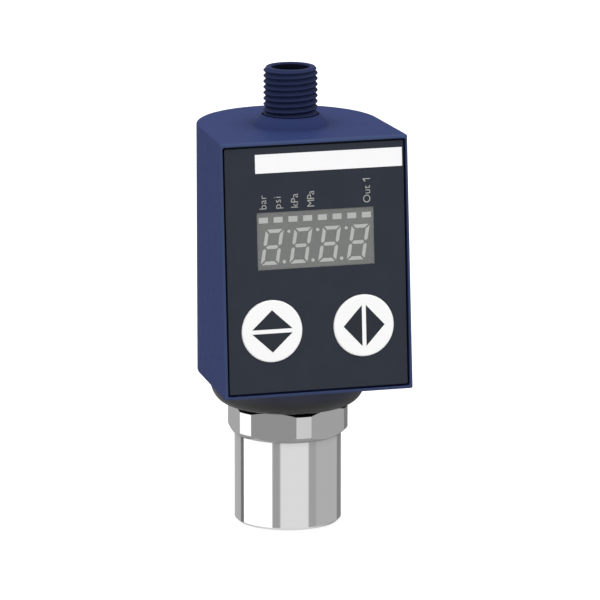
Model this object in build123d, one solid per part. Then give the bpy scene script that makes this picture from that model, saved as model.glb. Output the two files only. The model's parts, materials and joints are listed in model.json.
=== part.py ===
from build123d import *
import math
import os

# Pressure sensor, mm: z = 0 on the fitting's bottom face, the display looks towards -Y

# Process fitting, one turned stainless piece
barrel_r = 11.65
barrel_length = 19.7
barrel_chamfer = 0.6
collar_r = 13.0
collar_height = 6.7
collar_across_flats = 24.0
neck_r = 9.5
port_major_r = 6.58
port_thread_length = 12.0
port_relief_r = 5.6
port_relief_length = 1.8
channel_r = 1.25

# Pressure cell and what holds it in the neck
cell_r = 7.5
cell_height = 4.0
cell_diaphragm = 0.8
cell_fit = 0.1
cell_seal_section_r = 0.75
cell_floor_height = 1.8
retainer_height = 3.0
cell_board_lift = 1.5
cell_board_thickness = 1.1
cell_pin_circle_r = 3.2
cell_pin_r = 0.3
chip_size = 2.6
lead_r = 1.3

# Swivel ring with its running fit on the neck, its clip and its stop
ring_lift = 0.2
ring_height = 7.2
ring_bowl_height = 4.8
ring_bottom_r = 12.4
ring_top_r = 16.95
ring_running_fit = 0.06
spigot_r = 12.4
spigot_rise = 0.5
neck_seal_section_r = 0.6
clip_r = 11.0
clip_thickness = 0.8
stop_r = 0.7
ring_screw_r = 1.0

# Housing: straight sides, round back, front leaning back
housing_height = 54.95
front_reach = 25.63
front_tilt = 4.6
front_half_width = 21.0
back_r = 20.0
back_centre_y = -0.9
wall = 2.0
rim = 0.7
rim_round = 0.65
edge_round = 0.35
recess_depth = 2.0
ledge_width = 1.6

# Round plug connector on the housing's top
connector_y = -2.36
connector_r = 6.0
connector_height = 12.55
connector_bore_r = 4.1
connector_flange_r = 8.0
thread_length = 8.55
socket_depth = 8.8
relief_r = 5.5
boss_r = 8.3
boss_step = 0.4
boss_top_r = 6.35
boss_height = 2.15
contact_circle_r = 2.35
contact_r = 0.5
contact_recess = 1.7

# Front panel, in the leaning frame: x to the right, v up the slope, depth behind the front
panel_depth = 0.4
panel_thickness = 1.2
panel_gap = 0.5
strip_left_x = -13.1
strip_height = 4.05
strip_drop = 1.43
strip_side = 0.3
strip_sink = 0.15

# Buttons
button_x = 10.2
button_v = 14.45
button_r = 6.7
button_gap = 0.1
button_travel = 0.4
arrow_half_base = 4.45
arrow_height = 4.12
arrow_gap = 0.45

# Display: four digits of seven segments over a row of status bars
digit_height = 7.6
digit_width = 4.0
digit_space = 2.36
digit_mid_v = 32.5
segment_width = 0.78
segment_gap = 0.09
digit_slant = 10.0
bar_v = 38.3
bar_width = 2.0
bar_height = 1.28
window_margin = 0.8
window_fit = 0.05

# Boards
board_thickness = 1.2
display_board_depth = 6.5
spacer_length = 7.8
spacer_r = 2.0
post_r = 1.7
board_screw_r = 0.8
spacer_screw_r = 0.9

# Heights along the port axis
collar_top = barrel_length + collar_height
ring_bottom = collar_top + ring_lift
housing_bottom = ring_bottom + ring_height
housing_top = housing_bottom + housing_height
floor_top = housing_bottom + wall
ceiling = housing_top - wall
spigot_top = floor_top + spigot_rise
clip_groove_low = spigot_top + 0.2
clip_groove_top = clip_groove_low + clip_thickness + 0.2
stop_z = clip_groove_top + 0.2 + stop_r
neck_top = stop_z + stop_r + 0.4
cell_floor = barrel_length + cell_floor_height
cell_low = cell_floor + 2 * cell_seal_section_r
cell_top = cell_low + cell_height
retainer_top = cell_top + retainer_height
cell_board_low = retainer_top + cell_board_lift
cell_board_top = cell_board_low + cell_board_thickness

# Leaning frame of the front
tilt = math.radians(front_tilt)
front_height = housing_height / math.cos(tilt)
front = Plane(
    origin=(0, -front_reach, housing_bottom), x_dir=(1, 0, 0), z_dir=(0, -math.cos(tilt), math.sin(tilt)))
parts = {}


def turned(points):
    """Solid of revolution about Z from (radius, height) points."""
    return revolve(Plane.XZ * make_face(Polyline(*points, close=True)), Axis.Z)


def rod(x, y, low_z, high_z, radius):
    """Upright cylinder between two heights."""
    return Pos(x, y, (low_z + high_z) / 2) * Cylinder(radius, high_z - low_z)


def around(count, circle_r, first_angle, middle_y=0):
    """Evenly spaced (x, y) points on a circle."""
    angles = [math.radians(first_angle + 360 / count * index) for index in range(count)]
    return [(circle_r * math.cos(angle), middle_y + circle_r * math.sin(angle)) for angle in angles]


def on_front(shape):
    """Shape built in the leaning frame, put in its place."""
    return front.location * shape


def slab(low_x, high_x, low_v, high_v, near, far):
    """Box in the leaning frame, between two depths behind the front."""
    middle = Pos((low_x + high_x) / 2, (low_v + high_v) / 2, -(near + far) / 2)
    return on_front(middle * Box(high_x - low_x, high_v - low_v, far - near))


def disc(x, v, near, far, radius):
    """Cylinder square to the front, between two depths behind it."""
    return on_front(Pos(x, v, -(near + far) / 2) * Cylinder(radius, far - near))


def plate(sketch, near, far):
    """Sketch in the leaning frame, thickened between two depths."""
    return on_front(Pos(0, 0, -far) * extrude(sketch, far - near))


def in_front_plane(edge):
    """True for an edge that lies in the front plane."""
    return all(abs(front.to_local_coords(vertex.center()).Z) < 1e-3 for vertex in edge.vertices())


def slotted_screw(x, v, tip, seat, radius, head_r, head_height):
    """Screw square to the front: shank from tip to seat depth, slotted head behind it."""
    slot_half = 0.25
    screw = disc(x, v, tip, seat, radius) + disc(x, v, seat, seat + head_height, head_r)
    far = seat + head_height
    return screw - slab(x - head_r, x + head_r, v - slot_half, v + slot_half, far - head_height / 2, far)


# Fitting: barrel, six-sided collar, grooved neck, port below and cell pocket above
pocket_r = cell_r + cell_fit
neck_seal_z = ring_bottom + 2.9
seal_groove_half = neck_seal_section_r + 0.3
seal_groove_r = neck_r + ring_running_fit - 2 * neck_seal_section_r - 0.04
clip_groove_r = neck_r - 0.9
collar_lead = collar_r - barrel_r
collar_top_r = collar_across_flats / 2
fitting = turned([
    (0, 0), (barrel_r - barrel_chamfer, 0), (barrel_r, barrel_chamfer), (barrel_r, barrel_length),
    (collar_r, barrel_length + collar_lead), (collar_r, collar_top - (collar_r - collar_top_r) * 0.58),
    (collar_top_r, collar_top), (neck_r, collar_top),
    (neck_r, neck_seal_z - seal_groove_half), (seal_groove_r, neck_seal_z - seal_groove_half),
    (seal_groove_r, neck_seal_z + seal_groove_half), (neck_r, neck_seal_z + seal_groove_half),
    (neck_r, clip_groove_low), (clip_groove_r, clip_groove_low),
    (clip_groove_r, clip_groove_top), (neck_r, clip_groove_top),
    (neck_r, neck_top - 0.3), (neck_r - 0.3, neck_top), (0, neck_top),
])
hexagon = RegularPolygon(collar_across_flats / 2, 6, major_radius=False, rotation=90)
collar_ring = rod(0, 0, barrel_length, collar_top, collar_r + 1)
fitting -= collar_ring - Pos(0, 0, barrel_length) * extrude(hexagon, collar_height)
cell_seal_major = cell_r - 1.9
seal_recess_r = cell_seal_major + cell_seal_section_r + 0.25
port_floor = port_thread_length + port_relief_length
fitting -= turned([
    (0, 0), (port_major_r, 0), (port_major_r, port_thread_length),
    (port_relief_r, port_thread_length + 0.6), (port_relief_r, port_floor), (channel_r, port_floor),
    (channel_r, cell_floor), (seal_recess_r, cell_floor), (seal_recess_r, cell_low), (pocket_r, cell_low),
    (pocket_r, neck_top), (0, neck_top),
])
stop_reach = clip_r + 1.2
stop_pin = Pos(0, -(pocket_r + stop_reach) / 2, stop_z) * Rot(90, 0, 0) * Cylinder(
    stop_r, stop_reach - pocket_r)
parts["fluid_fitting"] = fitting - stop_pin
parts["stop_pin"] = stop_pin
neck_seal_major = seal_groove_r + neck_seal_section_r + 0.02
parts["neck_seal"] = Pos(0, 0, neck_seal_z) * Torus(neck_seal_major, neck_seal_section_r)

# Open clip in its groove
clip_low = clip_groove_low + 0.1
clip_high = clip_low + clip_thickness
clip = rod(0, 0, clip_low, clip_high, clip_r) - rod(0, 0, clip_low, clip_high, clip_groove_r + 0.02)
parts["retaining_clip"] = clip - Pos(0, clip_r - 1, clip_low) * Box(5, 6, 2 * clip_thickness + 1)

# Cell stack: seal, ceramic cell, threaded retainer with a key slot, board on three pins
parts["cell_seal"] = Pos(0, 0, cell_floor + cell_seal_section_r) * Torus(cell_seal_major, cell_seal_section_r)
cell_hollow = rod(0, 0, cell_low, cell_top - cell_diaphragm, cell_seal_major - 1.8)
parts["pressure_cell"] = rod(0, 0, cell_low, cell_top, cell_r) - cell_hollow
retainer_r = pocket_r - 0.05
retainer = rod(0, 0, cell_top, retainer_top, retainer_r)
retainer -= rod(0, 0, cell_top, retainer_top, retainer_r - 2.55)
parts["cell_retainer"] = retainer - Pos(0, 0, retainer_top) * Box(2 * retainer_r + 1, 1.6, 2.0)
cell_board = rod(0, 0, cell_board_low, cell_board_top, pocket_r - 0.8)
for index, (x, y) in enumerate(around(3, cell_pin_circle_r, 90)):
    pin = rod(x, y, cell_top, cell_board_top + 0.4, cell_pin_r)
    cell_board -= pin
    parts[f"cell_pin_{index + 1}"] = pin
parts["cell_board"] = cell_board
chip_height = 1.0
chip = Box(chip_size, chip_size, chip_height)
parts["signal_chip"] = Pos(4.0, 1.6, cell_board_top + chip_height / 2) * chip

# Swivel ring: bowl outside, spigot up into the housing, stop block on the spigot
ring_belt = ring_bottom + ring_bowl_height
ring_bore_r = neck_r + ring_running_fit
bowl = EllipticalCenterArc(
    (ring_bottom_r, ring_belt), ring_top_r - ring_bottom_r, ring_bowl_height, 270, arc_size=90)
ring_outline = Polyline(
    (ring_top_r, ring_belt), (ring_top_r, housing_bottom), (spigot_r, housing_bottom), (spigot_r, spigot_top),
    (ring_bore_r, spigot_top), (ring_bore_r, ring_bottom), (ring_bottom_r, ring_bottom))
ring = revolve(Plane.XZ * make_face([bowl, ring_outline]), Axis.Z)
block_near = clip_r + 0.15
block_far = spigot_r - 0.02
block_top = stop_z + stop_r
ring += Pos(0, (block_near + block_far) / 2, (spigot_top + block_top) / 2) * Box(
    2 * stop_r, block_far - block_near, block_top - spigot_top)

# Housing shell: plan outline, leaning front, rounded edges, cavity, recess for the panel


def plan(half_width, round_r):
    """Outline seen from above: flared straight sides and a round back."""
    front_y = -front_reach - 1.4
    return make_face([
        Polyline(
            (-round_r, back_centre_y), (-half_width, front_y),
            (half_width, front_y), (round_r, back_centre_y)),
        ThreePointArc((round_r, back_centre_y), (0, back_centre_y + round_r), (-round_r, back_centre_y)),
    ])


shell = Pos(0, 0, housing_bottom) * extrude(plan(front_half_width + 0.05, back_r), housing_height)
shell -= on_front(Pos(0, front_height / 2, 10) * Box(4 * front_half_width, 2 * front_height, 20))
shell = fillet([edge for edge in shell.edges() if in_front_plane(edge)], rim_round)
flat_edges = [
    edge for edge in shell.edges()
    if edge.center().Y > -front_reach + 6
    and min(abs(edge.center().Z - housing_bottom), abs(edge.center().Z - housing_top)) < 1e-3
]
shell = fillet(flat_edges, edge_round)
recess_half_width = front_half_width - rim
cavity_plan = plan(recess_half_width - ledge_width, back_r - wall)
shell -= Pos(0, 0, floor_top) * extrude(cavity_plan, ceiling - floor_top)
recess = Pos(0, front_height / 2) * RectangleRounded(2 * recess_half_width, front_height - 2 * rim, 0.5)
shell -= plate(recess, -0.5, recess_depth)
boss_top = housing_top + boss_height
cone_step = 0.35
boss = turned([
    (0, housing_top - 0.5), (boss_r, housing_top - 0.5), (boss_r, housing_top + boss_step - 0.15),
    (boss_r - 0.15, housing_top + boss_step), (boss_top_r + cone_step, boss_top - cone_step),
    (boss_top_r, boss_top), (0, boss_top),
])
shell += Pos(0, connector_y, 0) * boss
shank_r = boss_top_r - 0.25
shell -= rod(0, connector_y, ceiling - 1, boss_top + 1, shank_r + 0.05)
shell -= rod(0, 0, housing_bottom - 1, floor_top, spigot_r)

# Screws that hold the ring to the housing floor
ring_screw_circle = (spigot_r + ring_top_r) / 2 - 0.2
ring_screw_head_r = ring_screw_circle - spigot_r - 0.1
ring_screw_low = housing_bottom - 3.8
ring_screw_head = 1.4
for index, (x, y) in enumerate(around(3, ring_screw_circle, 30)):
    shell -= rod(x, y, housing_bottom - 0.5, floor_top + 0.5, ring_screw_r + 0.1)
    ring -= rod(x, y, ring_screw_low - 0.4, housing_bottom + 0.5, ring_screw_r)
    screw = rod(x, y, ring_screw_low, floor_top, ring_screw_r)
    screw += rod(x, y, floor_top, floor_top + ring_screw_head, ring_screw_head_r)
    slot_box = Box(2 * ring_screw_head_r + 1, 0.5, ring_screw_head)
    parts[f"ring_screw_{index + 1}"] = screw - Pos(x, y, floor_top + ring_screw_head) * slot_box
parts["swivel_ring"] = ring
parts["housing"] = shell

# Connector: threaded shell with flange inside the housing, seal, contact carrier and contacts
connector_top = housing_top + connector_height
thread_low = connector_top - 0.75 - thread_length
socket_floor = connector_top - socket_depth
flange_low = ceiling - 2.0
shell_low = flange_low - 0.75
groove_inner_r = shank_r + 0.35
connector_seal_section_r = 0.56
groove_low = ceiling - 2 * connector_seal_section_r - 0.03
groove_outer_r = connector_flange_r - 0.4
connector = turned([
    (connector_bore_r, shell_low), (shank_r + 0.3, shell_low), (connector_flange_r, flange_low),
    (connector_flange_r, ceiling), (shank_r, ceiling), (shank_r, boss_top - 0.6), (relief_r, boss_top - 0.4),
    (relief_r, thread_low - 0.5), (connector_r, thread_low), (connector_r, connector_top - 0.75),
    (connector_r - 0.7, connector_top), (connector_bore_r + 0.2, connector_top),
    (connector_bore_r, connector_top - 0.2),
])
connector -= turned([
    (groove_inner_r, groove_low), (groove_outer_r, groove_low),
    (groove_outer_r, ceiling), (groove_inner_r, ceiling),
])
key_size = 1.0
key_low = socket_floor
key_high = connector_top - contact_recess - 0.1
key = Box(key_size, key_size, key_high - key_low)
connector += Pos(0, connector_bore_r - 0.1, (key_low + key_high) / 2) * key
parts["connector_shell"] = Pos(0, connector_y, 0) * connector
parts["connector_seal"] = Pos(0, connector_y, ceiling - connector_seal_section_r - 0.01) * Torus(
    (groove_inner_r + groove_outer_r) / 2, connector_seal_section_r)
carrier_low = shell_low - 0.3
contact_board_low = carrier_low - board_thickness
carrier = rod(0, connector_y, carrier_low, socket_floor, connector_bore_r)
contact_board = rod(0, connector_y, contact_board_low, carrier_low, connector_r)
contact_tip = connector_top - contact_recess
for index, (x, y) in enumerate(around(4, contact_circle_r, 45, connector_y)):
    contact = rod(x, y, contact_board_low, contact_tip, contact_r)
    carrier -= contact
    contact_board -= contact
    tip_edges = contact.edges().filter_by(lambda edge: edge.center().Z > contact_tip - 0.01)
    parts[f"contact_pin_{index + 1}"] = chamfer(tip_edges, 0.2)
parts["contact_carrier"] = carrier
parts["contact_board"] = contact_board

# Front panel with its window, button holes, strip pocket and board posts
panel_back = panel_depth + panel_thickness
panel_half_width = recess_half_width - panel_gap
panel_low_v = rim + panel_gap
panel_high_v = front_height - rim - panel_gap
panel_outline = RectangleRounded(2 * panel_half_width, panel_high_v - panel_low_v, 0.3)
panel = plate(Pos(0, (panel_low_v + panel_high_v) / 2) * panel_outline, panel_depth, panel_back)
slant = math.tan(math.radians(digit_slant))
digit_pitch = digit_width + digit_space
window_half_width = 1.5 * digit_pitch + digit_width / 2 + slant * digit_height / 2 + window_margin - 0.01
window_low_v = digit_mid_v - digit_height / 2 - 1.1
window_high_v = bar_v + bar_height / 2 + 1.1
panel -= slab(-window_half_width, window_half_width, window_low_v, window_high_v, 0, panel_back + 1)
strip_high_v = panel_high_v - strip_drop
strip_edges = (strip_left_x, panel_half_width - strip_side, strip_high_v - strip_height, strip_high_v)
panel -= slab(*strip_edges, panel_depth - 0.1, panel_depth + strip_sink)
parts["name_strip"] = slab(*strip_edges, panel_depth - 0.03, panel_depth + strip_sink)
display_board_back = display_board_depth + board_thickness
post_x = panel_half_width - 3.6
post_low_v = panel_low_v + 4.3
post_high_v = panel_high_v - 7.4
post_places = [(x, v) for v in (post_low_v, post_high_v) for x in (-post_x, post_x)]
for index, (x, v) in enumerate(post_places):
    panel += disc(x, v, panel_back, display_board_depth, post_r)
    panel -= disc(x, v, display_board_depth - 3.5, display_board_depth, board_screw_r)
    parts[f"board_screw_{index + 1}"] = slotted_screw(
        x, v, display_board_depth - 2.9, display_board_back, board_screw_r, post_r, 1.2)
gasket_half_width = recess_half_width - 0.35
gasket_height = front_height - 2 * (rim + 0.35)
gasket_land = 1.15
gasket = RectangleRounded(2 * gasket_half_width, gasket_height, 0.8)
gasket -= Rectangle(2 * (gasket_half_width - gasket_land), gasket_height - 2 * gasket_land)
parts["panel_gasket"] = plate(Pos(0, front_height / 2) * gasket, panel_back, recess_depth)

# Buttons: flanged cap with inlaid arrows, plunger and switch behind it
button_hole_r = button_r + button_gap
flange_near = panel_back + 0.1
flange_far = flange_near + 0.7
switch_near = display_board_depth - 1.5
switch_floor = display_board_depth - 0.3
stem_end = switch_near - button_travel - 0.4
plunger_r = 1.6
plunger_end = switch_floor - button_travel - 0.2


def arrow(direction_x, direction_v):
    """Triangle pointing away from the button's middle."""
    base = Vector(direction_x, direction_v) * arrow_gap
    tip = Vector(direction_x, direction_v) * (arrow_gap + arrow_height)
    side_step = Vector(-direction_v, direction_x) * arrow_half_base
    return make_face(Polyline(base + side_step, base - side_step, tip, close=True))


for side, name, ways in ((-1, "left", ((0, 1), (0, -1))), (1, "right", ((1, 0), (-1, 0)))):
    x = side * button_x
    panel -= disc(x, button_v, 0, panel_back + 1, button_hole_r)
    cap = disc(x, button_v, 0, flange_near + 0.1, button_r)
    cap = fillet([edge for edge in cap.edges() if in_front_plane(edge)], edge_round)
    cap += disc(x, button_v, flange_near, flange_far, button_hole_r + 0.8)
    cap += disc(x, button_v, flange_far, stem_end, plunger_r - 0.1)
    arrows = Sketch() + [Pos(x, button_v) * arrow(*way) for way in ways]
    inlay = plate(arrows, -0.02, 0.2)
    parts[f"{name}_button"] = cap - inlay
    parts[f"{name}_button_marks"] = inlay
    parts[f"{name}_plunger"] = disc(x, button_v, stem_end, plunger_end, plunger_r)
    switch = slab(x - 3, x + 3, button_v - 3, button_v + 3, switch_near, display_board_depth)
    parts[f"{name}_switch"] = switch - disc(x, button_v, switch_near - 0.1, switch_floor, plunger_r + 0.1)
parts["front_panel"] = panel


def segment(start_x, start_v, end_x, end_v):
    """One bar of a digit, pointed at both ends, sheared to the digits' slant."""
    half = segment_width / 2
    turn = half if start_v == end_v else -half
    corners = [
        (start_x, start_v), (start_x + half, start_v + half), (end_x - turn, end_v + turn),
        (end_x, end_v), (end_x - half, end_v - half), (start_x + turn, start_v - turn),
    ]
    return make_face(Polyline(*[(x + (v - digit_mid_v) * slant, v) for x, v in corners], close=True))


# Display: inlaid segments, points and bars in a block, clear lens in the window
segments = Sketch()
reach = (digit_width - segment_width) / 2
rise = (digit_height - segment_width) / 2
lower_point_x = 0.65 * digit_pitch - 0.6 * digit_space - 0.12
for index in range(4):
    middle = (index - 1.5) * digit_pitch - 0.1
    for v in (digit_mid_v - rise, digit_mid_v, digit_mid_v + rise):
        segments += segment(middle - reach + segment_gap, v, middle + reach - segment_gap, v)
    for x in (middle - reach, middle + reach):
        for low_v in (digit_mid_v - rise, digit_mid_v):
            segments += segment(x, low_v + segment_gap, x, low_v + rise - segment_gap)
    if index < 3:
        segments += Pos(middle + lower_point_x, digit_mid_v - digit_height / 2 + 0.5) * Circle(0.38)
        segments += Pos(middle + lower_point_x + 1.18, digit_mid_v + digit_height / 2 - 0.6) * Circle(0.36)
bar_pitch = (2 * (window_half_width - 0.57) - bar_width) / 7
bars = Sketch() + [
    Pos((index - 3.5) * bar_pitch - 0.03, bar_v) * Rectangle(bar_width, bar_height) for index in range(8)]
block_face = panel_depth + 0.3
inlay_far = block_face + 0.25
segment_inlay = plate(segments, block_face, inlay_far)
bar_inlay = plate(bars, block_face, inlay_far)
block_half_width = window_half_width - window_fit
block_edges = (-block_half_width, block_half_width, window_low_v + window_fit, window_high_v - window_fit)
block = slab(*block_edges, block_face, panel_back)
block += slab(
    -window_half_width - 0.9, window_half_width + 0.9, window_low_v - 0.9, window_high_v + 0.9,
    panel_back, display_board_depth)
parts["display_block"] = block - segment_inlay - bar_inlay
parts["display_segments"] = segment_inlay
parts["indicator_bars"] = bar_inlay
parts["display_lens"] = slab(*block_edges, panel_depth, block_face - 0.03)

# Display board on the posts, with its controller
display_board_half_width = post_x + 1.1
display_board = slab(
    -display_board_half_width, display_board_half_width, post_low_v - 1.9, post_high_v + 4.0,
    display_board_depth, display_board_back)
for x, v in post_places:
    display_board -= disc(x, v, display_board_depth - 1, display_board_back + 1, board_screw_r)
parts["display_board"] = display_board
parts["controller_chip"] = slab(-4, 4, 22, 30, display_board_back, display_board_back + 1.1)

# Main board on two spacers, with header, output driver, capacitor and sockets
main_near = display_board_back + spacer_length
main_far = main_near + board_thickness
main_half_width = 15.5
main_low_v = 9.5
main_board = slab(-main_half_width, main_half_width, main_low_v, 47.0, main_near, main_far)
spacer_x = main_half_width - spacer_r - 0.5
spacer_v = main_low_v + spacer_r + 0.5
for index, x in enumerate((-spacer_x, spacer_x)):
    main_board -= disc(x, spacer_v, main_near - 1, main_far + 1, spacer_screw_r)
    spacer = disc(x, spacer_v, display_board_back, main_near, spacer_r)
    spacer -= disc(x, spacer_v, main_near - 4.5, main_near, spacer_screw_r)
    parts[f"board_spacer_{index + 1}"] = spacer
    parts[f"spacer_screw_{index + 1}"] = slotted_screw(
        x, spacer_v, main_near - 3.9, main_far, spacer_screw_r, 2 * spacer_screw_r, 1.1)
parts["main_board"] = main_board
parts["board_header"] = slab(-9, 9, 42.0, 45.0, display_board_back, main_near)
parts["output_driver"] = slab(5, 11, 26, 31, main_far, main_far + 1.3)
parts["filter_capacitor"] = disc(-9, 30, main_far, main_far + 6.8, 3.0)
harness_r = 1.5
harness_v = 40.0
harness_depth = main_far + harness_r + 0.2
harness_socket_far = harness_depth + harness_r + 0.3
parts["harness_socket"] = slab(-3.5, 3.5, harness_v - 4.5, harness_v, main_far, harness_socket_far)

# Harness from the contact board to its socket, and lead from the cell board up into its own
harness_start = (0, connector_y, contact_board_low)
harness_end = on_front(Pos(0, harness_v, -harness_depth)).position
down_the_front = (0, -math.sin(tilt), -math.cos(tilt))
harness_path = Spline(harness_start, harness_end, tangents=[(0, 0, -1), down_the_front])
harness_section = Plane(harness_start, z_dir=(0, 0, -1)) * Circle(harness_r)
parts["connector_harness"] = sweep(harness_section, path=harness_path)
lead_socket_v = 15.4
lead_entry_depth = (front_reach - lead_socket_v * math.sin(tilt)) / math.cos(tilt)
lead_entry_z = housing_bottom + lead_socket_v * math.cos(tilt) - lead_entry_depth * math.sin(tilt)
lead_top = lead_entry_z + 4.0
lead_socket = slab(-2.8, 2.8, lead_socket_v, lead_socket_v + 5.1, main_far, lead_entry_depth + 2.5)
parts["lead_socket"] = lead_socket - rod(0, 0, lead_entry_z - 3, lead_top + 0.4, lead_r + 0.3)
parts["cell_lead"] = rod(0, 0, cell_board_top, lead_top, lead_r)

os.makedirs("parts", exist_ok=True)
for name, shape in parts.items():
    export_step(shape, f"parts/{name}.step")
print(len(parts), "parts")
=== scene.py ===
"""Looks of a pressure sensor: a display head that swivels on a steel fitting.

Lengths are in millimetres and become metres in the helpers. The front leans back, so its features
are placed by x to the right, v up the slope and a height off the front plane.
"""
import json
import math

import bpy
from mathutils import Matrix, Vector


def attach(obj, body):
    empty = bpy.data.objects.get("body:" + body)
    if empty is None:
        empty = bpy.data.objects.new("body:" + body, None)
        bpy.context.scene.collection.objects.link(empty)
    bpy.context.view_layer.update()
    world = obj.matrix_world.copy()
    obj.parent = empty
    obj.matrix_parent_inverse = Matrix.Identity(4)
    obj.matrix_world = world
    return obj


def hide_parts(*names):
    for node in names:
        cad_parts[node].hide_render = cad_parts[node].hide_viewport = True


MM = 0.001

# Leaning front, as in the frame
FRONT_REACH = 25.63
FRONT_FOOT_Z = 33.8
FRONT_TILT = math.radians(4.6)
FRONT_FOOT = Vector((0, -FRONT_REACH, FRONT_FOOT_Z))
UP_SLOPE = Vector((0, math.sin(FRONT_TILT), math.cos(FRONT_TILT)))
OUTWARD = Vector((0, -math.cos(FRONT_TILT), math.sin(FRONT_TILT)))
PANEL_DEPTH = 0.4

# Size of the grain on moulded pieces
PLASTIC_GRAIN = 0.25

# Depths behind the front where the painted highlight on the rim fades and where the painted shade in the
# corners starts to deepen
RIM_HIGHLIGHT_NEAR = 0.25
RIM_HIGHLIGHT_FAR = 0.8
CORNER_SHADE_NEAR = 2.5
CORNER_SHADE_FAR = 7.0
CORNER_SHADE_STRENGTH = 0.85

# The fitting's milled collar: where it starts, its tone against the barrel's, and the painted shade on
# its underside
COLLAR_LOW = 19.75
COLLAR_SHARE = 0.83
COLLAR_UNDERSIDE_SHADE_SHARE = 0.5
UNDERSIDE_SHADE_LOW = 18.0
UNDERSIDE_SHADE_HIGH = 19.0

# Barrel and collar: heights in the frame, and the photograph's widths as shares of the frame's
BARREL_TOP = 19.7
COLLAR_TOP = 26.4
FITTING_OUTSIDE_R = 10.0
BARREL_SHARE = 11.7 / 11.65
COLLAR_WIDTH_SHARE = 24.45 / 24.0

# Swivel ring: its bowl in the frame, the fuller radius at its bottom, and where the painted reflection of
# the housing's blue starts
RING_BOTTOM = 26.6
RING_BELT = 31.4
RING_BOTTOM_R = 12.4
RING_FULL_R = 13.0
RING_BELT_R = 16.95
RING_REFLECTION_LOW = 28.8
RING_REFLECTION_HIGH = 32.0

# Top of the head, and how far the step round the boss comes down
HOUSING_TOP = 88.75
BOSS_STEP_HIGH = 0.5
BOSS_STEP_DROP = 0.235

# Display, in the leaning front: x to the right, v up the slope
DIGIT_MID_V = 32.5
DIGIT_HEIGHT = 7.6
DIGIT_WIDTH = 4.0
DIGIT_PITCH = 6.36
DIGIT_SLANT = math.tan(math.radians(10))
SEGMENT_WIDTH = 0.76
SEGMENT_GAP = 0.26
DIGITS_X = -0.1
LOW_POINT_X = 2.598
LOW_POINT_RISE = 0.5
LOW_POINT_R = 0.38
HIGH_POINT_X = 3.778
HIGH_POINT_DROP = 0.6
HIGH_POINT_R = 0.36
BARS_X = -0.03
BAR_V = 38.3
BAR_WIDTH = 2.0
BAR_HEIGHT = 1.2
BAR_PITCH = 3.266
BLOCK_HALF_WIDTH = 12.95
BLOCK_LOW_V = 27.65
BLOCK_HIGH_V = 39.99
BLOCK_FLANGE = 0.95
BLOCK_FACE = 0.7
PANEL_BACK = 1.6
BOARD_DEPTH = 6.5

# Height of anything printed; letters' size and what comes off the outline of their strokes
PRINT_HEIGHT = 0.012
LETTER_SIZE = 2.3
LETTER_THINNING = 0.025
LEGEND_V = 40.6
OUTPUT_X = 12.25
OUTPUT_V = 40.85

# Round connector
CONNECTOR_Y = -2.36
CONNECTOR_BORE_R = 4.1
CONNECTOR_TOP = 101.3
SHELL_LOW = 84.0
BORE_CHAMFER = 0.25
KEY_LOW = 92.5
KEY_HIGH = 99.5
KEY_R = 3.5
KEY_HALF_ANGLE = math.radians(7.5)
FLANGE_R = 8.0
FLANGE_LOW = 84.75
CEILING = 86.75
SEAL_FLOOR = 85.6
SEAL_INNER_R = 6.25
SEAL_OUTER_R = 7.6
BOSS_TOP = 90.9
GROOVE_R = 5.5
SHANK_R = 5.9
SHANK_TOP = 91.1
THREAD_PITCH = 1.242
THREAD_CREST_R = 5.9
THREAD_DEPTH = 0.55
THREAD_START = 99.31
THREAD_RUN_OUT = 0.3
THREAD_CHAMFER_R = 5.25
THREAD_CHAMFER_SLOPE = 0.9

# Port thread
PORT_R = 6.58
PORT_DEPTH = 12.0
PORT_PITCH = 1.337
PORT_RIDGE = 0.86

# Share of a smooth wave in the threads' flanks, which rounds crest and root
THREAD_ROUNDING = 0.35

# Camera fitted to the photograph, which is 600 pixels wide
CAMERA_AZIMUTH = math.radians(15.738)
CAMERA_ELEVATION = math.radians(12.989)
CAMERA_DISTANCE = 1186.7
CAMERA_RIGHT = 2.696
CAMERA_UP = 47.758
FOCAL_PIXELS = 5388.0
PHOTO_PIXELS = 600.0
SENSOR_WIDTH = 36.0

# Studio seen in the steel: each panel's end, in degrees round from the camera's side, and brightness
STUDIO_PANELS = (
    (-122.5, 0.50),
    (-110, 0.17),
    (-34, 1.55),
    (-16, 0.40),
    (46, 0.86),
    (64, 0.42),
    (134, 0.51),
    (180, 0.26),
)
PANEL_EDGE = 0.003

# Plain light above and below the panels, and the rise of a direction over which each fades
OVERHEAD = (0.85, 0.85, 0.85)
OVERHEAD_FADE = (0.25, 0.7)
UNDERNEATH = (0.8, 0.8, 0.8)
UNDERNEATH_FADE = (-0.9, -0.5)

# Light on the object: strength at the horizon, what is added straight above, and the least from below
FILL_LEVEL = 0.62
FILL_RISE = 1.45
FILL_LEAST = 0.2

# Floor: half its side in metres, its grey, and what it adds of its own to look white
FLOOR_HALF = 4.0
FLOOR_GREY = 0.5
FLOOR_GLOW = 0.56


# Shader helpers

def start_material(name):
    """New material with its tree and principled shader."""
    material = bpy.data.materials.new(name)
    material.use_nodes = True
    tree = material.node_tree
    return material, tree, tree.nodes["Principled BSDF"]


def add(tree, kind, **inputs):
    """Adds a node and sets its inputs by name, with spaces written as underscores."""
    node = tree.nodes.new(kind)
    for key, value in inputs.items():
        node.inputs[key.replace("_", " ")].default_value = value
    return node


def math_node(tree, operation, first, second):
    """Math node fed by sockets or numbers; returns its output."""
    node = tree.nodes.new("ShaderNodeMath")
    node.operation = operation
    for socket, value in zip(node.inputs, (first, second)):
        if isinstance(value, (int, float)):
            socket.default_value = value
        else:
            tree.links.new(value, socket)
    return node.outputs[0]


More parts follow.
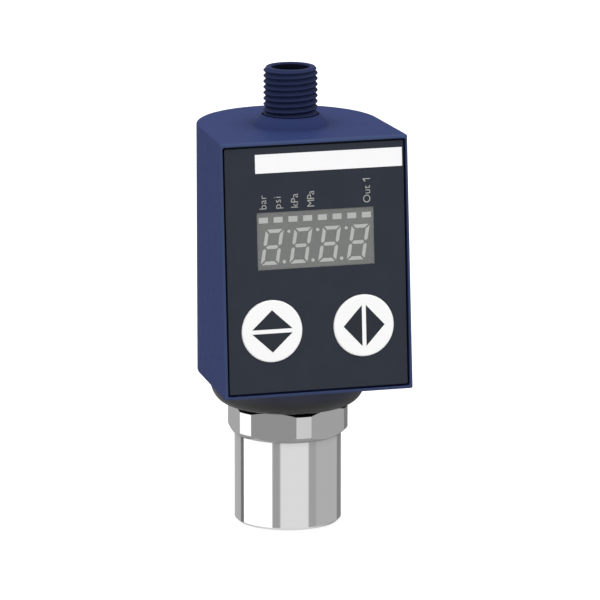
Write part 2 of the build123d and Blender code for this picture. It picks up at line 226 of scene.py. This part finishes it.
def spread(tree, source, low, high, from_low=0.3, from_high=0.7):
    """Maps a value from one range to another and stops at its ends; noise lies mostly from 0.3 to 0.7."""
    node = add(tree, "ShaderNodeMapRange", From_Min=from_low, From_Max=from_high, To_Min=low, To_Max=high)
    tree.links.new(source, node.inputs["Value"])
    return node.outputs["Result"]


def noise(tree, size, stretch=(1, 1, 1), detail=3.0):
    """Noise whose grains are size millimetres across, stretched along the axes."""
    place = tree.nodes.new("ShaderNodeTexCoord")
    mapping = add(tree, "ShaderNodeMapping", Scale=[1 / (size * MM * part) for part in stretch])
    tree.links.new(place.outputs["Object"], mapping.inputs["Vector"])
    grain = add(tree, "ShaderNodeTexNoise", Scale=1.0, Detail=detail)
    tree.links.new(mapping.outputs["Vector"], grain.inputs["Vector"])
    return grain.outputs["Fac"]


def mottled(tree, colour, mottle, factor):
    """Colour that wanders a little about its mean."""
    ramp = tree.nodes.new("ShaderNodeValToRGB")
    for element, share in zip(ramp.color_ramp.elements, (1 - mottle, 1 + mottle)):
        element.color = [min(1.0, channel * share) for channel in colour] + [1.0]
    ramp.color_ramp.elements[0].position = 0.3
    ramp.color_ramp.elements[1].position = 0.7
    tree.links.new(factor, ramp.inputs["Fac"])
    return ramp.outputs["Color"]


def blend(tree, factor, first, second):
    """Mix of a colour socket and a second colour, either a socket or three numbers."""
    mix = tree.nodes.new("ShaderNodeMix")
    mix.data_type = "RGBA"
    if isinstance(factor, (int, float)):
        mix.inputs["Factor"].default_value = factor
    else:
        tree.links.new(factor, mix.inputs["Factor"])
    tree.links.new(first, mix.inputs["A"])
    if isinstance(second, tuple):
        mix.inputs["B"].default_value = second + (1.0,)
    else:
        tree.links.new(second, mix.inputs["B"])
    return mix.outputs["Result"]


def painted_shade_in_corners(tree, colour, reach, strength, only_itself=False):
    """Colour with painted shade in corners, from occlusion within a reach in millimetres."""
    occlusion_shade = add(tree, "ShaderNodeAmbientOcclusion", Distance=reach * MM)
    occlusion_shade.samples = 12
    occlusion_shade.only_local = only_itself
    tree.links.new(colour, occlusion_shade.inputs["Color"])
    return blend(tree, strength, colour, occlusion_shade.outputs["Color"])


def along(tree, direction):
    """Distance along a direction from the frame's origin, in metres."""
    place = tree.nodes.new("ShaderNodeTexCoord")
    product = tree.nodes.new("ShaderNodeVectorMath")
    product.operation = "DOT_PRODUCT"
    product.inputs[1].default_value = direction
    tree.links.new(place.outputs["Object"], product.inputs[0])
    return product.outputs["Value"]


def bump(tree, shader, height, depth):
    """Relief of a depth in millimetres from a height value."""
    node = add(tree, "ShaderNodeBump", Distance=depth * MM, Strength=1.0)
    tree.links.new(height, node.inputs["Height"])
    tree.links.new(node.outputs["Normal"], shader.inputs["Normal"])


def uneven_gloss(tree, shader, low, high, size=1.5):
    """Roughness that wanders between two values, over patches of a size in millimetres."""
    tree.links.new(spread(tree, noise(tree, size), low, high), shader.inputs["Roughness"])


def mix_shaders(tree, factor, first, second):
    """Mix of the shaders of two nodes by a factor socket; returns the mixing node."""
    mixed = tree.nodes.new("ShaderNodeMixShader")
    for socket, source in zip(mixed.inputs, (factor, first.outputs[0], second.outputs[0])):
        tree.links.new(source, socket)
    return mixed


def reflected_or_refracted(tree, path):
    """One for rays that were mirrored or let through, and nought for the rest."""
    return math_node(tree, "MAXIMUM", path.outputs["Is Glossy Ray"], path.outputs["Is Transmission Ray"])


def moulded(name, colour, roughness, specular=0.5, grain=PLASTIC_GRAIN, relief=0.003, mottle=0.04,
            metallic=0.0, corners=0.0):
    """Moulded or painted surface: fine grain, slight mottling and uneven gloss."""
    material, tree, shader = start_material(name)
    shader.inputs["Metallic"].default_value = metallic
    shader.inputs["Specular IOR Level"].default_value = specular
    paint = mottled(tree, colour, mottle, noise(tree, 5.0))
    # Painted shade in the corners, as strong as corners
    if corners:
        paint = painted_shade_in_corners(tree, paint, 2.5, corners)
    tree.links.new(paint, shader.inputs["Base Color"])
    uneven_gloss(tree, shader, roughness - 0.04, roughness + 0.04)
    bump(tree, shader, noise(tree, grain, detail=4.0), relief)
    return material


def housing_plastic(name, colour, rim_highlight_colour):
    """Smooth navy plastic with a painted highlight on the rounded rim and painted shade in the corners
    behind it.
    """
    material, tree, shader = start_material(name)
    shader.inputs["Specular IOR Level"].default_value = 0.02
    front = FRONT_FOOT.dot(-OUTWARD)
    depth = along(tree, -OUTWARD)
    # Painted highlight on the rim, fading with depth behind the front
    rim = spread(tree, depth, 1.0, 0.0, (front + RIM_HIGHLIGHT_NEAR) * MM, (front + RIM_HIGHLIGHT_FAR) * MM)
    # Strength of the painted shade in the corners, growing with depth behind the front
    corners = spread(tree, depth, 0.0, CORNER_SHADE_STRENGTH,
                     (front + CORNER_SHADE_NEAR) * MM, (front + CORNER_SHADE_FAR) * MM)
    paint = blend(tree, rim, mottled(tree, colour, 0.015, noise(tree, 6.0)), rim_highlight_colour)
    paint = painted_shade_in_corners(tree, paint, 7.0, corners)
    tree.links.new(paint, shader.inputs["Base Color"])
    uneven_gloss(tree, shader, 0.46, 0.52)
    bump(tree, shader, noise(tree, PLASTIC_GRAIN, detail=4.0), 0.0006)
    return material


def turned_steel(name, colour, roughness):
    """Turned stainless steel: fine rings round the vertical axis."""
    material, tree, shader = start_material(name)
    shader.inputs["Metallic"].default_value = 1.0
    rings = noise(tree, 0.08, stretch=(80, 80, 1), detail=2.0)
    tree.links.new(mottled(tree, colour, 0.01, rings), shader.inputs["Base Color"])
    tree.links.new(spread(tree, rings, roughness - 0.015, roughness + 0.015), shader.inputs["Roughness"])
    bump(tree, shader, rings, 0.0002)
    return material


def fitting_steel(name, colour, roughness):
    """Turned steel with a duller milled collar, painted shade on the collar's downward faces and painted
    shade in its corners.
    """
    material = turned_steel(name, colour, roughness)
    tree = material.node_tree
    shader = tree.nodes["Principled BSDF"]
    height = along(tree, (0, 0, 1))
    collar = spread(tree, height, 0.0, 1.0, COLLAR_LOW * MM, (COLLAR_LOW + 0.1) * MM)
    paint = shader.inputs["Base Color"].links[0].from_socket
    paint = blend(tree, collar, paint, tuple(COLLAR_SHARE * channel for channel in colour))
    # Painted shade on the collar's downward faces above the barrel
    geometry = tree.nodes.new("ShaderNodeNewGeometry")
    facing = tree.nodes.new("ShaderNodeSeparateXYZ")
    tree.links.new(geometry.outputs["Normal"], facing.inputs[0])
    downward = spread(tree, facing.outputs["Z"], 1.0, 0.0, -0.6, -0.3)
    above_barrel = spread(tree, height, 0.0, 1.0, UNDERSIDE_SHADE_LOW * MM, UNDERSIDE_SHADE_HIGH * MM)
    underside_shade = math_node(tree, "MULTIPLY", downward, above_barrel)
    paint = blend(tree, underside_shade, paint, tuple(COLLAR_UNDERSIDE_SHADE_SHARE * channel for channel in colour))
    # Painted shade in the corners, such as where the collar meets the barrel
    paint = painted_shade_in_corners(tree, paint, 1.6, CORNER_SHADE_STRENGTH, only_itself=True)
    tree.links.new(paint, shader.inputs["Base Color"])
    return material


def ring_plastic(name, colour, belt_reflection_colour, bottom_shade_colour):
    """Black plastic with a painted reflection of the housing's blue at its belt and painted shade towards
    the collar.
    """
    material, tree, shader = start_material(name)
    shader.inputs["Specular IOR Level"].default_value = 0.13
    height = along(tree, (0, 0, 1))
    # Painted reflection of the housing's blue, rising to the belt
    belt = spread(tree, height, 0.0, 1.0, RING_REFLECTION_LOW * MM, RING_REFLECTION_HIGH * MM)
    # Painted shade just above the collar
    foot_shade = spread(tree, height, 1.0, 0.0, (RING_BOTTOM + 0.3) * MM, (RING_BOTTOM + 1.3) * MM)
    paint = blend(tree, belt, mottled(tree, colour, 0.04, noise(tree, 5.0)), belt_reflection_colour)
    paint = blend(tree, foot_shade, paint, bottom_shade_colour)
    tree.links.new(paint, shader.inputs["Base Color"])
    uneven_gloss(tree, shader, 0.31, 0.39)
    bump(tree, shader, noise(tree, PLASTIC_GRAIN, detail=4.0), 0.002)
    return material


def clear_lens(name):
    """Thin clear sheet that shows little but its gloss."""
    material, tree, shader = start_material(name)
    shader.inputs["Base Color"].default_value = (0.9, 0.92, 0.95, 1.0)
    shader.inputs["Alpha"].default_value = 0.06
    shader.inputs["Specular IOR Level"].default_value = 0.3
    uneven_gloss(tree, shader, 0.18, 0.24, 2.0)
    return material


def make_materials():
    """One material for each of the record's slots."""
    return {
        "fitting_steel": fitting_steel("fitting_steel", (0.80, 0.80, 0.80), 0.08),
        "hardware_steel": turned_steel("hardware_steel", (0.58, 0.57, 0.56), 0.25),
        "seal_rubber": moulded("seal_rubber", (0.026, 0.030, 0.044), 0.7, 0.2),
        "cell_ceramic": moulded("cell_ceramic", (0.78, 0.76, 0.70), 0.5, 0.4),
        # The ring's second colour is a painted reflection of the housing's blue and its third is painted
        # shade near the collar; the housing's second colour is a painted highlight on its rim
        "ring_black": ring_plastic("ring_black", (0.035, 0.035, 0.035), (0.052, 0.057, 0.098),
                                   (0.008, 0.008, 0.008)),
        "housing_navy": housing_plastic("housing_navy", (0.0255, 0.0385, 0.121), (0.044, 0.063, 0.142)),
        "panel_grey": moulded("panel_grey", (0.024, 0.029, 0.042), 0.6, 0.17, grain=0.15, relief=0.001),
        "display_grey": moulded("display_grey", (0.105, 0.109, 0.099), 0.7, 0.1, relief=0.0005),
        "segment_grey": moulded("segment_grey", (0.42, 0.426, 0.405), 0.7, 0.1, mottle=0.03,
                                relief=0.0005),
        "lens_clear": clear_lens("lens_clear"),
        "button_white": moulded("button_white", (0.92, 0.92, 0.92), 0.45, 0.2, mottle=0.005,
                                relief=0.0008),
        "mark_dark": moulded("mark_dark", (0.020, 0.025, 0.034), 0.6, 0.2, relief=0.0008),
        "strip_white": moulded("strip_white", (0.92, 0.92, 0.93), 0.5, 0.2, mottle=0.005,
                               relief=0.0005),
        "board_green": moulded("board_green", (0.02, 0.13, 0.05), 0.35, 0.5),
        "part_black": moulded("part_black", (0.02, 0.02, 0.02), 0.45, 0.4),
        "contact_brass": moulded("contact_brass", (0.75, 0.56, 0.22), 0.25, 0.5, metallic=1.0),
        "lead_sheath": moulded("lead_sheath", (0.03, 0.03, 0.032), 0.55, 0.3),
        "capacitor_can": moulded("capacitor_can", (0.62, 0.62, 0.64), 0.3, 0.5, metallic=1.0),
    }


# Mesh helpers

def mesh_from(name, points, faces):
    """Mesh with the given points and faces."""
    mesh = bpy.data.meshes.new(name)
    mesh.from_pydata(points, [], faces)
    mesh.update()
    return mesh


def link_piece(name, mesh, material, body, sharp_degrees=30):
    """Puts a finished mesh in the scene on its body, with its material."""
    mesh.shade_smooth()
    mesh.set_sharp_from_angle(angle=math.radians(sharp_degrees))
    mesh.materials.append(material)
    piece = bpy.data.objects.new(name, mesh)
    bpy.context.scene.collection.objects.link(piece)
    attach(piece, body)
    return piece


def spun_mesh(name, section_at, angles, middle=(0.0, 0.0)):
    """Closed ring-shaped mesh: section_at(angle) gives the same number of (r, z) points each time."""
    points = []
    for angle in angles:
        for radius, height in section_at(angle):
            points.append(((middle[0] + radius * math.cos(angle)) * MM,
                           (middle[1] + radius * math.sin(angle)) * MM, height * MM))
    around = len(angles)
    count = len(points) // around
    faces = []
    for column in range(around):
        following = (column + 1) % around
        for row in range(count):
            above = (row + 1) % count
            faces.append((column * count + row, following * count + row,
                          following * count + above, column * count + above))
    return mesh_from(name, points, faces)


def even_angles(count, extra=()):
    """Angles round the circle in order, with some exact ones added."""
    step = 2 * math.pi / count
    angles = [step * index for index in range(count)]
    angles = [angle for angle in angles if all(abs(angle - special) > step / 3 for special in extra)]
    return sorted(angles + list(extra))


def ridge(phase):
    """Height from 0 to 1 of a thread flank with rounded crest and root, for a phase in turns."""
    wave = abs(2 * (phase % 1.0) - 1)
    smooth = wave * wave * (3 - 2 * wave)
    return smooth * THREAD_ROUNDING + wave * (1 - THREAD_ROUNDING)


def steps(low, high, count):
    """Evenly spaced numbers from low to high, both included."""
    return [low + (high - low) * index / (count - 1) for index in range(count)]


# Pieces that replace or join the frame's nodes

def reshaped(frame, name, node, body, material, place):
    """Copy of a node's mesh with every point moved to place(x, y, z), standing for the node."""
    mesh = frame["nodes"][node].data.copy()
    mesh.name = name
    for vertex in mesh.vertices:
        vertex.co = Vector(place(*(channel / MM for channel in vertex.co))) * MM
    mesh.materials.clear()
    mesh.materials.append(material)
    piece = bpy.data.objects.new(name, mesh)
    bpy.context.scene.collection.objects.link(piece)
    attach(piece, body)
    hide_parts(node)


def make_wider_collar(frame, material):
    """The fitting with its barrel and collar grown to the photograph's widths."""

    def place(x, y, z):
        if math.hypot(x, y) < FITTING_OUTSIDE_R or z > COLLAR_TOP + 0.01:
            return x, y, z
        share = COLLAR_WIDTH_SHARE if z > BARREL_TOP + 0.02 else BARREL_SHARE
        return x * share, y * share, z

    reshaped(frame, "process_fitting_body", "fluid_fitting", "process_fitting", material,
             place)


def make_fuller_ring(frame, material):
    """The swivel ring with a fuller bowl."""

    def place(x, y, z):
        radius = math.hypot(x, y)
        if z > RING_BELT or radius < RING_BOTTOM_R - 0.05:
            return x, y, z
        height = (z - RING_BOTTOM) / (RING_BELT - RING_BOTTOM)
        bowl = math.sqrt(max(0.0, 1 - (1 - height) ** 2))
        curve = RING_BOTTOM_R + (RING_BELT_R - RING_BOTTOM_R) * bowl
        fuller = RING_FULL_R + (RING_BELT_R - RING_FULL_R) * bowl
        share = fuller / curve if radius > curve - 0.1 else 1.0
        return x * share, y * share, z

    reshaped(frame, "swivel_ring_body", "swivel_ring", "head", material, place)


def make_smooth_boss(frame, material):
    """The housing with the connector's boss running straight down into the top."""

    def place(x, y, z):
        risen = z - HOUSING_TOP
        if 0.02 < risen < BOSS_STEP_HIGH:
            return x, y, z - min(BOSS_STEP_DROP, risen - 0.01)
        return x, y, z

    reshaped(frame, "housing_body", "housing", "head", material, place)


def make_connector(material, bore_shade_material):
    """Connector shell with its outside thread, bore and key rib; the bore's faces take a darker second
    material as painted shade.
    """
    key_angle = math.pi / 2
    key_edges = [key_angle + side * KEY_HALF_ANGLE * share
                 for side in (-1, 1) for share in (0.999, 1.001)]
    thread_levels = steps(SHANK_TOP, CONNECTOR_TOP - 0.02, 130)

    def thread_r(angle, height):
        phase = (height - THREAD_START) / THREAD_PITCH - angle / (2 * math.pi) + 0.5
        radius = THREAD_CREST_R - THREAD_DEPTH * (1 - ridge(phase))
        grown = max(0.0, min(1.0, (height - SHANK_TOP) / THREAD_RUN_OUT))
        radius = radius * grown + SHANK_R * (1 - grown)
        cone = THREAD_CHAMFER_R + (CONNECTOR_TOP - height) * THREAD_CHAMFER_SLOPE
        return min(radius, cone)

    def section(angle):
        in_key = abs(angle - key_angle) < KEY_HALF_ANGLE
        inner = KEY_R if in_key else CONNECTOR_BORE_R
        outline = [
            (CONNECTOR_BORE_R, SHELL_LOW), (SHANK_R + 0.3, SHELL_LOW), (FLANGE_R, FLANGE_LOW),
            (FLANGE_R, CEILING), (SEAL_OUTER_R, CEILING), (SEAL_OUTER_R, SEAL_FLOOR),
            (SEAL_INNER_R, SEAL_FLOOR), (SEAL_INNER_R, CEILING), (SHANK_R, CEILING),
            (SHANK_R, BOSS_TOP - 0.5), (GROOVE_R, BOSS_TOP - 0.4), (GROOVE_R, BOSS_TOP + 0.05),
            (SHANK_R, BOSS_TOP + 0.1), (SHANK_R, SHANK_TOP - 0.02),
        ]
        outline += [(thread_r(angle, height), height) for height in thread_levels]
        outline += [
            (THREAD_CHAMFER_R, CONNECTOR_TOP), (CONNECTOR_BORE_R + BORE_CHAMFER, CONNECTOR_TOP),
            (CONNECTOR_BORE_R, CONNECTOR_TOP - 0.3), (CONNECTOR_BORE_R, KEY_HIGH + 0.002),
            (inner, KEY_HIGH), (inner, KEY_LOW), (CONNECTOR_BORE_R, KEY_LOW - 0.002),
        ]
        return outline[::-1]

    mesh = spun_mesh("connector", section, even_angles(192, key_edges), (0.0, CONNECTOR_Y))
    piece = link_piece("threaded_connector", mesh, material, "head", 40)
    # The bore's faces take the near-black navy as painted shade
    mesh.materials.append(bore_shade_material)
    for face in mesh.polygons:
        away = math.hypot(face.center.x, face.center.y - CONNECTOR_Y * MM)
        face.material_index = int(away < (CONNECTOR_BORE_R + 0.1) * MM)
    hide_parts("connector_shell")


def make_port_thread(material):
    """Inside thread of the port, a sleeve on the bore's wall that fades out at both ends."""
    levels = steps(0.05, PORT_DEPTH - 0.05, 110)

    def section(angle):
        rows = [(PORT_R, levels[0]), (PORT_R, levels[-1])]
        for height in reversed(levels):
            phase = height / PORT_PITCH - angle / (2 * math.pi)
            grown = max(0.0, min(1.0, height - 0.3, (PORT_DEPTH - 0.2 - height) / 0.8))
            rows.append((PORT_R - 0.02 - PORT_RIDGE * ridge(phase) * grown, height))
        return rows

    mesh = spun_mesh("port_thread", section, even_angles(128))
    link_piece("port_thread", mesh, material, "process_fitting", 50)


def front_point(x, v, height):
    """Place of a point on the leaning front, height millimetres off its plane."""
    return (Vector((x, 0, 0)) + FRONT_FOOT + UP_SLOPE * v + OUTWARD * height) * MM


def plates_mesh(name, outlines):
    """Closed plates on the front, from outlines of (x, v) points with their near and far depths."""
    points = []
    faces = []
    for outline, near, far in outlines:
        turn = sum(a[0] * b[1] - b[0] * a[1] for a, b in zip(outline, outline[1:] + outline[:1]))
        outline = outline if turn > 0 else outline[::-1]
        count = len(outline)
        first = len(points)
        points += [front_point(x, v, -near) for x, v in outline]
        points += [front_point(x, v, -far) for x, v in outline]
        faces.append(tuple(first + index for index in range(count)))
        faces.append(tuple(first + count + index for index in reversed(range(count))))
        for index in range(count):
            following = (index + 1) % count
            faces.append((first + index, first + count + index,
                          first + count + following, first + following))
    return mesh_from(name, points, faces)


def rectangle(low_x, high_x, low_v, high_v):
    """Corners of a rectangle on the front."""
    return [(low_x, low_v), (high_x, low_v), (high_x, high_v), (low_x, high_v)]


def round_point(x, v, radius):
    """Outline of a display point."""
    angles = even_angles(24)
    return [(x + radius * math.cos(angle), v + radius * math.sin(angle)) for angle in angles]


def digit_outlines(middle):
    """Seven mitred segments of one slanted digit."""
    outer_x, outer_v = DIGIT_WIDTH / 2, DIGIT_HEIGHT / 2
    inner_x, half = outer_x - SEGMENT_WIDTH, SEGMENT_WIDTH / 2
    end = [(outer_x - SEGMENT_GAP, outer_v), (inner_x - SEGMENT_GAP, outer_v - SEGMENT_WIDTH),
           (SEGMENT_GAP - inner_x, outer_v - SEGMENT_WIDTH), (SEGMENT_GAP - outer_x, outer_v)]
    side = [(outer_x, outer_v - SEGMENT_GAP), (outer_x, half + SEGMENT_GAP),
            (outer_x - half, SEGMENT_GAP), (inner_x, half + SEGMENT_GAP),
            (inner_x, outer_v - SEGMENT_WIDTH - SEGMENT_GAP)]
    centre = [(outer_x - half - SEGMENT_GAP, 0), (inner_x - SEGMENT_GAP, half),
              (SEGMENT_GAP - inner_x, half), (half + SEGMENT_GAP - outer_x, 0),
              (SEGMENT_GAP - inner_x, -half), (inner_x - SEGMENT_GAP, -half)]
    shapes = [centre]
    for flip_v in (1, -1):
        shapes.append([(x, flip_v * v) for x, v in end])
        for flip_x in (1, -1):
            shapes.append([(flip_x * x, flip_v * v) for x, v in side])
    return [[(middle + x + v * DIGIT_SLANT, DIGIT_MID_V + v) for x, v in shape] for shape in shapes]


def make_display(block_material, segment_material):
    """Grey block with its flange, and the digits, points and status bars printed on its face."""

    def put(name, node, outlines, material):
        piece = link_piece(name, plates_mesh(name, outlines), material, "head")
        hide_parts(node)

    def printed(shapes):
        return [(shape, BLOCK_FACE - PRINT_HEIGHT, BLOCK_FACE + 0.1) for shape in shapes]

    face = rectangle(-BLOCK_HALF_WIDTH, BLOCK_HALF_WIDTH, BLOCK_LOW_V, BLOCK_HIGH_V)
    flange = rectangle(-BLOCK_HALF_WIDTH - BLOCK_FLANGE, BLOCK_HALF_WIDTH + BLOCK_FLANGE,
                       BLOCK_LOW_V - BLOCK_FLANGE, BLOCK_HIGH_V + BLOCK_FLANGE)
    block = [(face, BLOCK_FACE, PANEL_BACK), (flange, PANEL_BACK, BOARD_DEPTH)]
    put("display_body", "display_block", block, block_material)
    low_v = DIGIT_MID_V - DIGIT_HEIGHT / 2 + LOW_POINT_RISE
    high_v = DIGIT_MID_V + DIGIT_HEIGHT / 2 - HIGH_POINT_DROP
    digits = []
    for index in range(4):
        middle = (index - 1.5) * DIGIT_PITCH + DIGITS_X
        digits += digit_outlines(middle)
        if index < 3:
            digits.append(round_point(middle + LOW_POINT_X, low_v, LOW_POINT_R))
            digits.append(round_point(middle + HIGH_POINT_X, high_v, HIGH_POINT_R))
    put("display_digits", "display_segments", printed(digits), segment_material)
    bars = []
    for index in range(8):
        middle = (index - 3.5) * BAR_PITCH + BARS_X
        bars.append(rectangle(middle - BAR_WIDTH / 2, middle + BAR_WIDTH / 2,
                              BAR_V - BAR_HEIGHT / 2, BAR_V + BAR_HEIGHT / 2))
    put("status_bars", "indicator_bars", printed(bars), segment_material)


def upward_reading(x, v, height):
    """Matrix for text that reads up the leaning front, height millimetres off its plane."""
    matrix = Matrix((UP_SLOPE, Vector((-1, 0, 0)), OUTWARD)).transposed().to_4x4()
    matrix.translation = front_point(x, v, height)
    return matrix


def make_legend(name, words, x, v, spacing, material):
    """Printed word on the panel, reading upwards, with its baseline at x and its start at v."""
    curve = bpy.data.curves.new(name, "FONT")
    curve.body = words
    curve.size = LETTER_SIZE * MM
    curve.space_character = spacing
    curve.extrude = PRINT_HEIGHT * MM
    curve.offset = -LETTER_THINNING * MM
    writer = bpy.data.objects.new(name + "_text", curve)
    mesh = bpy.data.meshes.new_from_object(writer)
    bpy.data.objects.remove(writer)
    mesh.name = name
    mesh.transform(upward_reading(x, v, PRINT_HEIGHT - PANEL_DEPTH))
    link_piece(name, mesh, material, "head")


def make_legends(material):
    """Unit symbols over the first four status bars, and the output's mark over the last."""
    legends = (
        ("legend_bar", "bar", -10.8, LEGEND_V, 1.05),
        ("legend_psi", "psi", -7.6, LEGEND_V, 1.12),
        ("legend_kpa", "kPa", -3.8, LEGEND_V, 0.98),
        ("legend_mpa", "MPa", -0.2, LEGEND_V, 0.86),
        ("legend_out", "Out", OUTPUT_X, OUTPUT_V, 1.0),
    )
    for name, words, x, v, spacing in legends:
        make_legend(name, words, x, v, spacing, material)
    stroke = 0.17
    top_x = OUTPUT_X - 1.6
    one_v = OUTPUT_V + 5.15
    one = [(OUTPUT_X, one_v), (OUTPUT_X, one_v + stroke), (top_x, one_v + stroke), (top_x, one_v),
           (top_x + 0.42, one_v - 0.55), (top_x + 0.6, one_v - 0.42), (top_x + 0.3, one_v)]
    mesh = plates_mesh("legend_one", [(one, PANEL_DEPTH - 2 * PRINT_HEIGHT, PANEL_DEPTH + 0.02)])
    link_piece("legend_one", mesh, material, "head")


# Stage, light and camera

def make_floor():
    """Pale floor that keeps the shadow, clear to reflections and from below."""
    corners = [(x * FLOOR_HALF, y * FLOOR_HALF, 0) for x, y in ((-1, -1), (1, -1), (1, 1), (-1, 1))]
    mesh = mesh_from("floor", corners, [(0, 1, 2, 3)])
    floor = bpy.data.objects.new("floor", mesh)
    floor.location.z = -0.02 * MM
    bpy.context.scene.collection.objects.link(floor)
    material = bpy.data.materials.new("floor_white")
    material.use_nodes = True
    tree = material.node_tree
    tree.nodes.clear()
    output = tree.nodes.new("ShaderNodeOutputMaterial")
    path = tree.nodes.new("ShaderNodeLightPath")
    paint = add(tree, "ShaderNodeBsdfDiffuse", Color=(FLOOR_GREY, FLOOR_GREY, FLOOR_GREY, 1.0))
    glow = add(tree, "ShaderNodeEmission", Color=(1, 1, 1, 1), Strength=FLOOR_GLOW)
    both = tree.nodes.new("ShaderNodeAddShader")
    tree.links.new(paint.outputs[0], both.inputs[0])
    tree.links.new(glow.outputs[0], both.inputs[1])
    seen = mix_shaders(tree, path.outputs["Is Camera Ray"], paint, both)
    sides = tree.nodes.new("ShaderNodeNewGeometry")
    passing = math_node(tree, "MAXIMUM", reflected_or_refracted(tree, path), sides.outputs["Backfacing"])
    mixed = mix_shaders(tree, passing, seen, tree.nodes.new("ShaderNodeBsdfTransparent"))
    tree.links.new(mixed.outputs[0], output.inputs["Surface"])
    mesh.materials.append(material)


def studio_colour(tree, direction):
    """Colour of the studio in a direction: a ring of panels, with plain light overhead and underneath."""
    angle = math_node(tree, "ARCTAN2", direction.outputs["Y"], direction.outputs["X"])
    ramp = tree.nodes.new("ShaderNodeValToRGB")
    tree.links.new(spread(tree, angle, 0.0, 1.0, -math.pi, math.pi), ramp.inputs["Fac"])
    stops = ramp.color_ramp.elements
    ends = (STUDIO_PANELS[0][1], STUDIO_PANELS[-1][1])
    for stop, place, bright in zip(stops, (0.0, 1.0), ends):
        stop.position = place
        stop.color = (bright, bright, bright, 1)
    for (end, bright), (_, following) in zip(STUDIO_PANELS, STUDIO_PANELS[1:]):
        for offset, value in ((-PANEL_EDGE, bright), (PANEL_EDGE, following)):
            stop = stops.new((end + 180) / 360 + offset)
            stop.color = (value, value, value, 1)
    height = direction.outputs["Z"]
    colour = blend(tree, spread(tree, height, 0.0, 1.0, *OVERHEAD_FADE), ramp.outputs["Color"], OVERHEAD)
    return blend(tree, spread(tree, height, 1.0, 0.0, *UNDERNEATH_FADE), colour, UNDERNEATH)


def make_world():
    """White to the camera, softly graded light on the object, and the studio in its gloss."""
    world = bpy.data.worlds.new("studio")
    bpy.context.scene.world = world
    world.use_nodes = True
    tree = world.node_tree
    tree.nodes.clear()
    output = tree.nodes.new("ShaderNodeOutputWorld")
    path = tree.nodes.new("ShaderNodeLightPath")
    place = tree.nodes.new("ShaderNodeTexCoord")
    turn = add(tree, "ShaderNodeMapping", Rotation=(0, 0, math.pi / 2 + CAMERA_AZIMUTH))
    tree.links.new(place.outputs["Generated"], turn.inputs["Vector"])
    direction = tree.nodes.new("ShaderNodeSeparateXYZ")
    tree.links.new(turn.outputs["Vector"], direction.inputs[0])
    gloss = add(tree, "ShaderNodeBackground", Strength=1.0)
    tree.links.new(studio_colour(tree, direction), gloss.inputs["Color"])
    fill = add(tree, "ShaderNodeBackground", Color=(1, 1, 1, 1))
    rising = math_node(tree, "MULTIPLY", direction.outputs["Z"], FILL_RISE)
    level = math_node(tree, "MAXIMUM", math_node(tree, "ADD", rising, FILL_LEVEL), FILL_LEAST)
    tree.links.new(level, fill.inputs["Strength"])
    white = add(tree, "ShaderNodeBackground", Color=(1, 1, 1, 1), Strength=1.0)
    lit = mix_shaders(tree, reflected_or_refracted(tree, path), fill, gloss)
    seen = mix_shaders(tree, path.outputs["Is Camera Ray"], lit, white)
    tree.links.new(seen.outputs[0], output.inputs["Surface"])


def make_camera():
    """Camera at the photograph's angle and framing."""
    data = bpy.data.cameras.new("camera")
    data.sensor_width = SENSOR_WIDTH
    data.lens = SENSOR_WIDTH * FOCAL_PIXELS / PHOTO_PIXELS
    data.clip_start = 0.05
    data.clip_end = 20.0
    camera = bpy.data.objects.new("camera", data)
    sine, cosine = math.sin(CAMERA_AZIMUTH), math.cos(CAMERA_AZIMUTH)
    rise, level = math.sin(CAMERA_ELEVATION), math.cos(CAMERA_ELEVATION)
    right = Vector((cosine, -sine, 0))
    back = Vector((-sine * level, -cosine * level, rise))
    up = back.cross(right)
    matrix = Matrix((right, up, back)).transposed().to_4x4()
    matrix.translation = (right * CAMERA_RIGHT + up * CAMERA_UP + back * CAMERA_DISTANCE) * MM
    camera.matrix_world = matrix
    bpy.context.scene.collection.objects.link(camera)
    bpy.context.scene.camera = camera


def dress_nodes(frame, materials):
    """Gives every carried-over node the material of its slot."""
    slots = {row["node"]: row["material_slot"] for row in frame["record"]["subparts"]}
    for name, node in frame["nodes"].items():
        node.data.materials.clear()
        node.data.materials.append(materials[slots[name]])


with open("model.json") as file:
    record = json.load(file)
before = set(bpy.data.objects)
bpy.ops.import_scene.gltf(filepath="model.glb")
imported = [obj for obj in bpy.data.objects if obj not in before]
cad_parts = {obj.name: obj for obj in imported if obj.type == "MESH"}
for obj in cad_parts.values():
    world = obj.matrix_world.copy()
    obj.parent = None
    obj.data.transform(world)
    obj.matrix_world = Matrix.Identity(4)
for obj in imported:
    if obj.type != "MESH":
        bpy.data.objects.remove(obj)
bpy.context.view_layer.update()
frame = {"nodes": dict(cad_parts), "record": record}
materials = make_materials()
dress_nodes(frame, materials)
make_wider_collar(frame, materials["fitting_steel"])
make_fuller_ring(frame, materials["ring_black"])
make_smooth_boss(frame, materials["housing_navy"])
# The connector is a darker navy than the housing, with painted shade in its corners; the bore's
# near-black navy is painted shade
make_connector(moulded("connector_navy", (0.019, 0.027, 0.074), 0.5, 0.03, relief=0.0008, corners=0.65),
               moulded("bore_navy_painted_shade", (0.0025, 0.0035, 0.009), 0.5, 0.03, relief=0.0008))
make_port_thread(materials["fitting_steel"])
make_display(materials["display_grey"], materials["segment_grey"])
make_legends(materials["segment_grey"])
make_floor()
make_world()
make_camera()
bpy.context.scene.view_settings.view_transform = "Standard"
